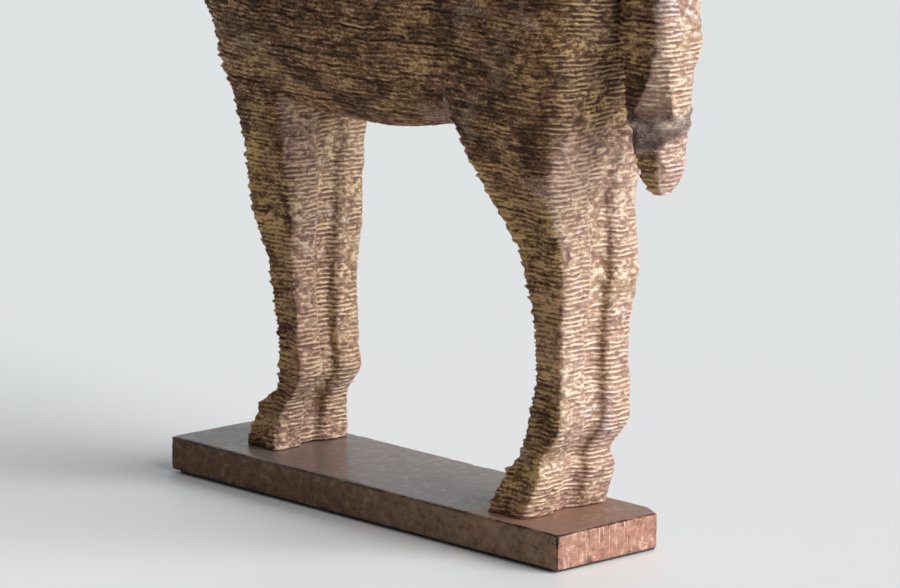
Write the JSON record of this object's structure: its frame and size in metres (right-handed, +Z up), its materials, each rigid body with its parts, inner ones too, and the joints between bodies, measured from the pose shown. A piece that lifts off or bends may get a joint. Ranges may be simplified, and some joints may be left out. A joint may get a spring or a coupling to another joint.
{
  "type": "horse statuette",
  "caption": "Standing horse statuette in ribbed cast bronze, sectional castings pinned together and studded to a slab plinth with a felt underside.",
  "frame": {"origin": "centre of the flat underside that rests on a shelf", "axes": "+X towards the tail, -X towards the head, -Y the horse's left side, +Z up"},
  "size_m": [0.4299, 0.0974, 0.4943],
  "materials": {
    "ribbed_bronze": "cast bronze with rough horizontal ribs, dark brown patina in the grooves and pale gold-beige wax rubbed over the crests, satin",
    "plinth_bronze": "smooth cast bronze slab, satin reddish-brown patina with fine scratches and dark lines along its edges",
    "felt": "thin black-brown wool felt, matt",
    "bronze_rod": "drawn bronze rod, bare and bright",
    "steel": "zinc plated steel, satin"
  },
  "bodies": {
    "root": {"plinth": "plinth_bronze", "base_felt": "felt", "torso": "ribbed_bronze", "neck_and_head": "ribbed_bronze", "forelegs": "ribbed_bronze", "hind_legs": "ribbed_bronze", "tail": "ribbed_bronze", "foreleg_dowels": "bronze_rod", "hind_leg_dowels": "bronze_rod", "neck_dowels": "bronze_rod", "tail_pin": "bronze_rod", "hoof_studs": "steel", "stud_washers": "steel", "stud_nuts": "steel"}
  },
  "joints": []
}
